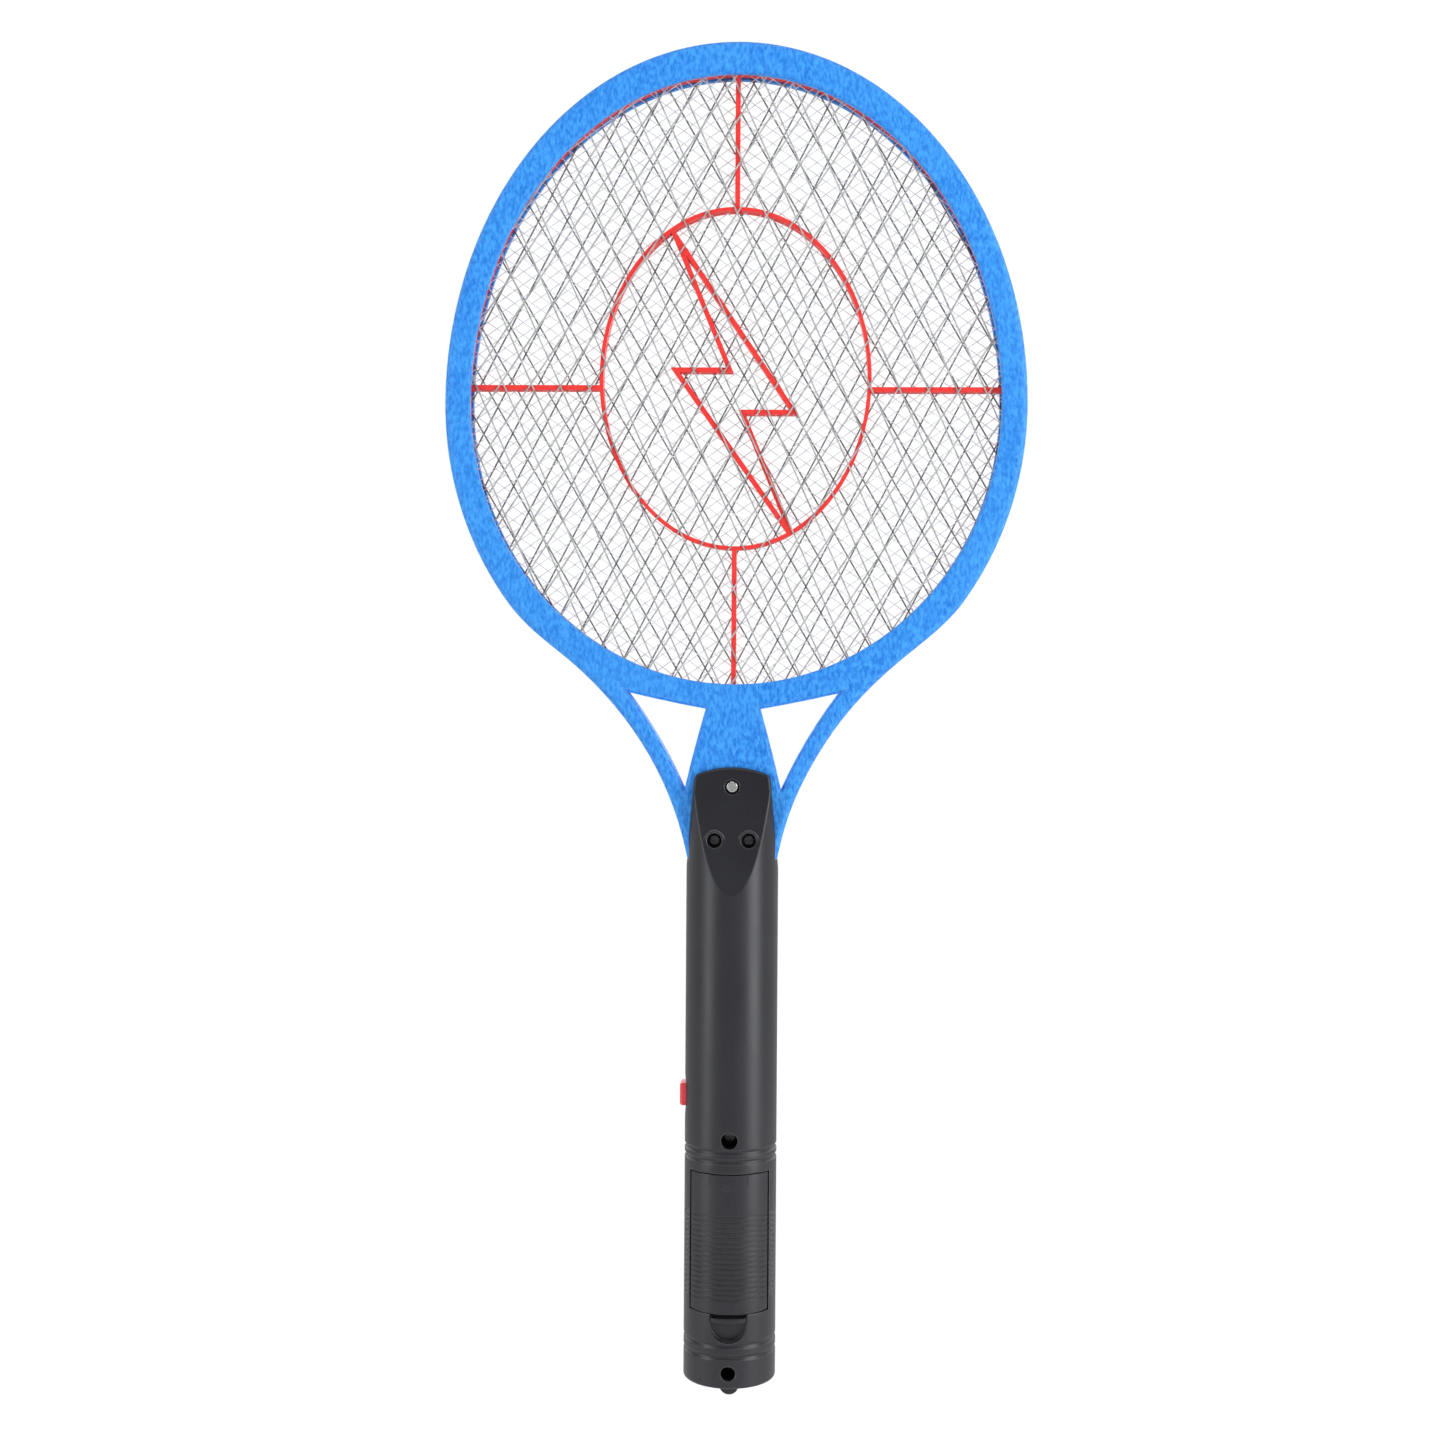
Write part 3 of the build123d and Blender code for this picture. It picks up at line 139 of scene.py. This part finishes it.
def bump(tree, shader, height, strength, distance, base_normal=None):
    node = tree.nodes.new("ShaderNodeBump")
    if base_normal is not None:
        tree.links.new(base_normal, node.inputs["Normal"])
    node.inputs["Strength"].default_value = strength
    node.inputs["Distance"].default_value = distance
    tree.links.new(height, node.inputs["Height"])
    tree.links.new(node.outputs["Normal"], shader.inputs["Normal"])


def edge_mask(tree, radius):
    """Softened normal of the moulded edges, and how far it leans from the true one."""
    soft = tree.nodes.new("ShaderNodeBevel")
    soft.samples = EDGE_SAMPLES
    soft.inputs["Radius"].default_value = radius
    true = tree.nodes.new("ShaderNodeNewGeometry")
    dot = tree.nodes.new("ShaderNodeVectorMath")
    dot.operation = "DOT_PRODUCT"
    tree.links.new(soft.outputs["Normal"], dot.inputs[0])
    tree.links.new(true.outputs["Normal"], dot.inputs[1])
    lean = tree.nodes.new("ShaderNodeMapRange")
    lean.inputs["From Min"].default_value = EDGE_DOT_START
    lean.inputs["From Max"].default_value = EDGE_DOT_FULL
    tree.links.new(dot.outputs["Value"], lean.inputs["Value"])
    return soft.outputs["Normal"], lean.outputs["Result"]


def plastic(
    name,
    dark,
    light,
    rough,
    grain_scale,
    grain_height,
    specular=PLASTIC_SPECULAR,
    scuff=0.06,
    stretch=(1, 1, 1),
    edge=None,
    painted_edge_highlight=None,
    drift_share=0.22,
    mark=None,
):
    """Moulded plastic: grain, slow colour drift, faint scuffs, and a painted highlight that
    lightens the rounded edges.
    """
    mat, tree, shader = new_material(name)
    vector = object_space(tree)
    grain = noise(tree, object_space(tree, stretch), grain_scale, 2.0, 0.6)
    drift = noise(tree, vector, DRIFT_SCALE, 4.0)
    scratches = noise(tree, object_space(tree, SCRATCH_STRETCH), SCRATCH_SCALE, 5.0, 0.7)
    base = ramp(tree, grain, dark, light, GRAIN_LOW, GRAIN_HIGH)
    base = mix_colour(tree, remap(tree, drift, 0.0, drift_share), base, light)
    scuffed = [min(1.0, c + scuff) for c in light]
    scratches = remap(tree, scratches, 0.0, SCRATCH_SHARE)
    scratched = math_node(tree, "POWER", scratches, SCRATCH_POWER)
    base = mix_colour(tree, scratched, base, scuffed)
    normal = None
    if edge:
        normal, lean = edge_mask(tree, edge)
        # painted highlight: the rounded edges are lightened in the base colour, standing in for
        # the side lamps' reflection, stronger where the drift is high
        edge_highlight_share = math_node(tree, "MULTIPLY", lean, remap(tree, drift, LEAST_EDGE_HIGHLIGHT, 1.0))
        base = mix_colour(tree, edge_highlight_share, base, painted_edge_highlight)
    if mark:
        base = mix_colour(tree, ring_mark(tree, *mark), base, scuffed)
    tree.links.new(base, shader.inputs["Base Color"])
    gloss = remap(tree, drift, *(rough + part for part in PLASTIC_GLOSS_SPREAD))
    tree.links.new(gloss, shader.inputs["Roughness"])
    shader.inputs["Specular IOR Level"].default_value = specular
    bump(tree, shader, grain, GRAIN_BUMP, grain_height, normal)
    return mat


def ring_mark(tree, centre, radius, width):
    """Thin round witness mark, such as an ejector pin leaves, round a point of the object."""
    coord = tree.nodes.new("ShaderNodeTexCoord")
    far = tree.nodes.new("ShaderNodeVectorMath")
    far.operation = "DISTANCE"
    far.inputs[1].default_value = centre
    tree.links.new(coord.outputs["Object"], far.inputs[0])
    off_ring = math_node(tree, "SUBTRACT", far.outputs["Value"], radius)
    from_ring = math_node(tree, "ABSOLUTE", off_ring)
    line = tree.nodes.new("ShaderNodeMapRange")
    line.inputs["From Min"].default_value = width
    line.inputs["From Max"].default_value = 0.0
    tree.links.new(from_ring, line.inputs["Value"])
    return line.outputs["Result"]


def metal(name, dark, light, rough, scale=1500.0, height=0.00003, metallic=1.0, patch=90.0):
    """Bare metal: fine mottle, and slow patches that run between its two tones."""
    mat, tree, shader = new_material(name)
    vector = object_space(tree)
    fine = noise(tree, vector, scale, 4.0, 0.6)
    slow = noise(tree, vector, patch, 3.0)
    tone = ramp(tree, fine, dark, light)
    base = mix_colour(tree, remap(tree, slow, 0.0, PATCH_SHARE), tone, light)
    tree.links.new(base, shader.inputs["Base Color"])
    gloss = remap(tree, fine, *(rough + part for part in METAL_GLOSS_SPREAD))
    tree.links.new(gloss, shader.inputs["Roughness"])
    shader.inputs["Metallic"].default_value = metallic
    bump(tree, shader, fine, METAL_BUMP, height)
    return mat


cover_low, cover_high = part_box("battery_cover")
GATE_MARK_X = -0.001
GATE_MARK_DROP = 0.0075  # below the cover's upper edge
GATE_MARK_RADIUS = 0.0009
GATE_MARK_WIDTH = 0.00035
gate_mark = (
    (GATE_MARK_X, cover_low.y, cover_high.z - GATE_MARK_DROP),
    GATE_MARK_RADIUS,
    GATE_MARK_WIDTH,
)

# the edge colours given to these plastics are painted highlights along their rounded edges
blue = plastic(
    "azure_moulded_plastic",
    (0.009, 0.180, 0.72),
    (0.060, 0.390, 1.00),
    0.5,
    1050.0,
    0.00025,
    specular=0.35,
    scuff=0.03,
    stretch=(1.0, 1.0, 0.45),
    edge=0.0006,
    painted_edge_highlight=(0.22, 0.52, 1.0),
)
CHARCOAL_DARK = (0.0085, 0.0088, 0.0125)
CHARCOAL_LIGHT = (0.0200, 0.0205, 0.0270)
black = plastic(
    "charcoal_satin_plastic",
    CHARCOAL_DARK,
    CHARCOAL_LIGHT,
    0.36,
    3200.0,
    0.00003,
    scuff=0.012,
    edge=0.0007,
    painted_edge_highlight=(0.130, 0.130, 0.136),
    drift_share=0.8,
)
cover_black = plastic(
    "charcoal_cover_plastic",
    CHARCOAL_DARK,
    CHARCOAL_LIGHT,
    0.34,
    3200.0,
    0.00003,
    scuff=0.012,
    edge=0.0004,
    painted_edge_highlight=(0.065, 0.065, 0.070),
    drift_share=0.8,
    mark=gate_mark,
)
red = plastic(
    "signal_red_plastic",
    (0.80, 0.030, 0.028),
    (0.93, 0.055, 0.048),
    0.42,
    2600.0,
    0.00003,
    specular=0.4,
    scuff=0.02,
)
button_red = plastic(
    "button_red_plastic",
    (0.86, 0.045, 0.055),
    (0.98, 0.100, 0.120),
    0.36,
    2600.0,
    0.00003,
    scuff=0.05,
    edge=0.0005,
    painted_edge_highlight=(0.90, 0.16, 0.18),
)
switch_black = plastic(
    "switch_black_plastic", (0.012, 0.012, 0.013), (0.022, 0.022, 0.024), 0.3, 2500.0, 0.00002
)
# the two outer meshes are one expanded steel in a lit and a shaded copy: the rear copy is painted
# darker as shade behind the front layers, the front copy lighter as lit
front_wire_painted_lit = metal(
    "expanded_steel_front_painted_lit", (0.24, 0.245, 0.26), (0.70, 0.705, 0.72), 0.34, 420.0, metallic=0.35
)
rear_wire_painted_shade = metal(
    "expanded_steel_rear_painted_shade", (0.08, 0.085, 0.095), (0.26, 0.265, 0.28), 0.40, 420.0, metallic=0.45
)
fine_wire = metal(
    "fine_centre_metal", (0.50, 0.52, 0.60), (0.84, 0.86, 0.92), 0.5, 700.0, metallic=0.0
)
contact = metal("nickel_contact", (0.55, 0.54, 0.50), (0.72, 0.71, 0.68), 0.28)
# The screws are one steel in a lit and a shaded copy: the bright copy paints the light that
# reaches the centre head, the dark copy paints the shade deep in the other holes.
screw_painted_lit = metal("screw_steel_painted_lit", (0.66, 0.67, 0.68), (0.90, 0.91, 0.92), 0.24)
screw_painted_shade = metal("screw_steel_painted_shade", (0.035, 0.035, 0.038), (0.11, 0.11, 0.115), 0.22)
board = plastic("phenolic_board", (0.36, 0.22, 0.08), (0.50, 0.33, 0.14), 0.45, 1400.0, 0.00003)
ferrite = plastic(
    "ferrite_core", (0.020, 0.020, 0.022), (0.045, 0.045, 0.048), 0.6, 1800.0, 0.00006
)
tape = plastic("winding_tape", (0.62, 0.36, 0.03), (0.78, 0.50, 0.06), 0.35, 600.0, 0.00005)
dipped = plastic(
    "dipped_capacitor", (0.22, 0.035, 0.015), (0.33, 0.06, 0.028), 0.22, 500.0, 0.00008
)
component = plastic("component_body", (0.16, 0.13, 0.10), (0.26, 0.22, 0.17), 0.4, 900.0, 0.00004)
sleeve = plastic("cell_sleeve", (0.030, 0.040, 0.045), (0.055, 0.070, 0.078), 0.3, 400.0, 0.00004)
lead_red = plastic("lead_red_pvc", (0.42, 0.012, 0.012), (0.55, 0.03, 0.03), 0.4, 1500.0, 0.00003)
lead_black = plastic(
    "lead_black_pvc", (0.012, 0.012, 0.012), (0.022, 0.022, 0.022), 0.4, 1500.0, 0.00003
)

FINISH = {
    blue: ["head_frame_front", "head_frame_rear"],
    black: ["handle_shell_front", "handle_shell_rear", "battery_cover_latch"],
    cover_black: ["battery_cover"],
    red: ["insulating_spacer_front", "insulating_spacer_rear"],
    button_red: ["trigger_button"],
    # painted light and shade: the front mesh gets the lit copy of the steel, the rear mesh the
    # shaded copy
    front_wire_painted_lit: ["outer_mesh_front"],
    rear_wire_painted_shade: ["outer_mesh_rear"],
    fine_wire: ["centre_mesh_front_layer", "centre_mesh_rear_layer"],
    switch_black: ["push_switch_body", "push_switch_plunger", "transistor"],
    contact: [
        "lower_contact",
        "upper_contact_positive",
        "upper_contact_negative",
        "lower_spring",
        "upper_spring",
        "mesh_strap",
    ],
    # painted light and shade: the centre head gets the lit copy of the steel, the other screws
    # the shaded copy
    screw_painted_lit: ["neck_screw_centre"],
    screw_painted_shade: [
        "neck_screw_left",
        "neck_screw_right",
        "handle_screw_upper",
        "handle_screw_lower",
    ],
    board: ["circuit_board"],
    ferrite: ["transformer_core"],
    tape: ["transformer_winding"],
    dipped: ["high_voltage_capacitor"],
    component: ["resistors", "rectifier_diodes"],
    sleeve: ["battery_cell_left", "battery_cell_right"],
    lead_red: ["high_voltage_lead", "battery_lead_positive"],
    lead_black: ["ground_lead", "battery_lead_negative"],
}
for mat, names in FINISH.items():
    for name in names:
        mesh = nodes[name].data
        mesh.materials.clear()
        mesh.materials.append(mat)


# ---- stage: floor, light, camera -----------------------------------------------------------
FLOOR_SIZE = 40.0
FLOOR_DROP = 0.16  # below the lower end of the handle, so that the racket hangs clear of it
FLOOR_LIT_COLOUR = (0.80, 0.80, 0.80, 1)
FLOOR_ROUGHNESS = 0.9

# the backdrop's light: dim in front (-Y) and bright behind, so that the sides catch it
BACKDROP_START = 0.05  # the Y of the direction at which it starts to brighten
BACKDROP_END = 0.75
BACKDROP_DIM = 0.17
BACKDROP_BRIGHT = 1.8

# name, azimuth, elevation, distance, width, height, watts
SOFTBOXES = [
    ("softbox_left", -60, 8, 1.3, 0.45, 1.6, 9.0),
    ("softbox_right", 61, 8, 1.3, 0.60, 1.6, 16.0),
    ("softbox_top", 0, 66, 1.4, 1.0, 0.35, 4.0),
]

CAMERA_DISTANCE = 0.740
CAMERA_AIM = Vector((-0.0041, 0.0, 0.2485))
CAMERA_AZIMUTH = math.radians(2.0)
CAMERA_RISE = 0.015  # above the aim; the lens shift brings the aim back to the middle
CAMERA_ROLL = math.radians(0.37)
SENSOR_WIDTH = 36.0  # mm, as is the lens
LENS = 49.7
CLIP_NEAR = 0.01
CLIP_FAR = 100.0


def show_and_light(tree, lit, seen, end):
    """One shader for what the camera sees, and another for every other ray."""
    path = tree.nodes.new("ShaderNodeLightPath")
    pick = tree.nodes.new("ShaderNodeMixShader")
    tree.links.new(path.outputs["Is Camera Ray"], pick.inputs[0])
    tree.links.new(lit, pick.inputs[1])
    tree.links.new(seen, pick.inputs[2])
    tree.links.new(pick.outputs[0], end.inputs["Surface"])


def square(name, centre, size):
    mesh = bpy.data.meshes.new(name)
    half = size / 2
    corners = [(-half, -half, 0), (half, -half, 0), (half, half, 0), (-half, half, 0)]
    mesh.from_pydata([Vector(c) + Vector(centre) for c in corners], [], [(0, 1, 2, 3)])
    obj = bpy.data.objects.new(name, mesh)
    scene.collection.objects.link(obj)
    return obj


floor = square("floor", (0, 0, cad_low.z - FLOOR_DROP), FLOOR_SIZE)
floor_mat, floor_tree, floor_shader = new_material("pale_floor")
floor_shader.inputs["Base Color"].default_value = FLOOR_LIT_COLOUR
floor_shader.inputs["Roughness"].default_value = FLOOR_ROUGHNESS
floor_shader.inputs["Specular IOR Level"].default_value = 0.0
floor_seen = floor_tree.nodes.new("ShaderNodeEmission")
floor_seen.inputs["Color"].default_value = WHITE
floor_seen.inputs["Strength"].default_value = SEEN_WHITE
floor_end = next(n for n in floor_tree.nodes if n.type == "OUTPUT_MATERIAL")
show_and_light(floor_tree, floor_shader.outputs[0], floor_seen.outputs[0], floor_end)
floor.data.materials.append(floor_mat)

world = bpy.data.worlds.new("studio")
scene.world = world
world.use_nodes = True
studio = world.node_tree
studio.nodes.clear()
studio_end = studio.nodes.new("ShaderNodeOutputWorld")
seen = studio.nodes.new("ShaderNodeBackground")
seen.inputs["Color"].default_value = WHITE
seen.inputs["Strength"].default_value = SEEN_WHITE
lit = studio.nodes.new("ShaderNodeBackground")
lit.inputs["Color"].default_value = WHITE
heading = studio.nodes.new("ShaderNodeTexCoord")
split = studio.nodes.new("ShaderNodeSeparateXYZ")
backdrop = studio.nodes.new("ShaderNodeMapRange")
backdrop.interpolation_type = "SMOOTHSTEP"
backdrop.inputs["From Min"].default_value = BACKDROP_START
backdrop.inputs["From Max"].default_value = BACKDROP_END
backdrop.inputs["To Min"].default_value = BACKDROP_DIM
backdrop.inputs["To Max"].default_value = BACKDROP_BRIGHT
studio.links.new(heading.outputs["Generated"], split.inputs[0])
studio.links.new(split.outputs["Y"], backdrop.inputs["Value"])
studio.links.new(backdrop.outputs["Result"], lit.inputs["Strength"])
show_and_light(studio, lit.outputs[0], seen.outputs[0], studio_end)


def softbox(name, azimuth, elevation, distance, width, tall, power):
    """Area light round the object; azimuth 0 is the camera's side and 90 is +X."""
    a, e = math.radians(azimuth), math.radians(elevation)
    back = Vector((math.sin(a) * math.cos(e), -math.cos(a) * math.cos(e), math.sin(e)))
    data = bpy.data.lights.new(name, "AREA")
    data.shape = "RECTANGLE"
    data.size = width
    data.size_y = tall
    data.energy = power
    obj = bpy.data.objects.new(name, data)
    obj.location = (cad_low + cad_high) / 2 + back * distance
    obj.rotation_mode = "QUATERNION"
    obj.rotation_quaternion = (-back).to_track_quat("-Z", "Y")
    scene.collection.objects.link(obj)


for box in SOFTBOXES:
    softbox(*box)

camera_data = bpy.data.cameras.new("camera")
camera_data.sensor_width = SENSOR_WIDTH
camera_data.lens = LENS
camera_data.clip_start = CLIP_NEAR
camera_data.clip_end = CLIP_FAR
camera_data.shift_y = -CAMERA_RISE * LENS / (CAMERA_DISTANCE * SENSOR_WIDTH)
camera = bpy.data.objects.new("camera", camera_data)
scene.collection.objects.link(camera)
back = Vector((math.sin(CAMERA_AZIMUTH), -math.cos(CAMERA_AZIMUTH), 0))
camera.location = CAMERA_AIM + back * CAMERA_DISTANCE + Vector((0, 0, CAMERA_RISE))
camera.rotation_mode = "QUATERNION"
turn = (-back).to_track_quat("-Z", "Y").to_matrix() @ Matrix.Rotation(CAMERA_ROLL, 3, "Z")
camera.rotation_quaternion = turn.to_quaternion()
scene.camera = camera
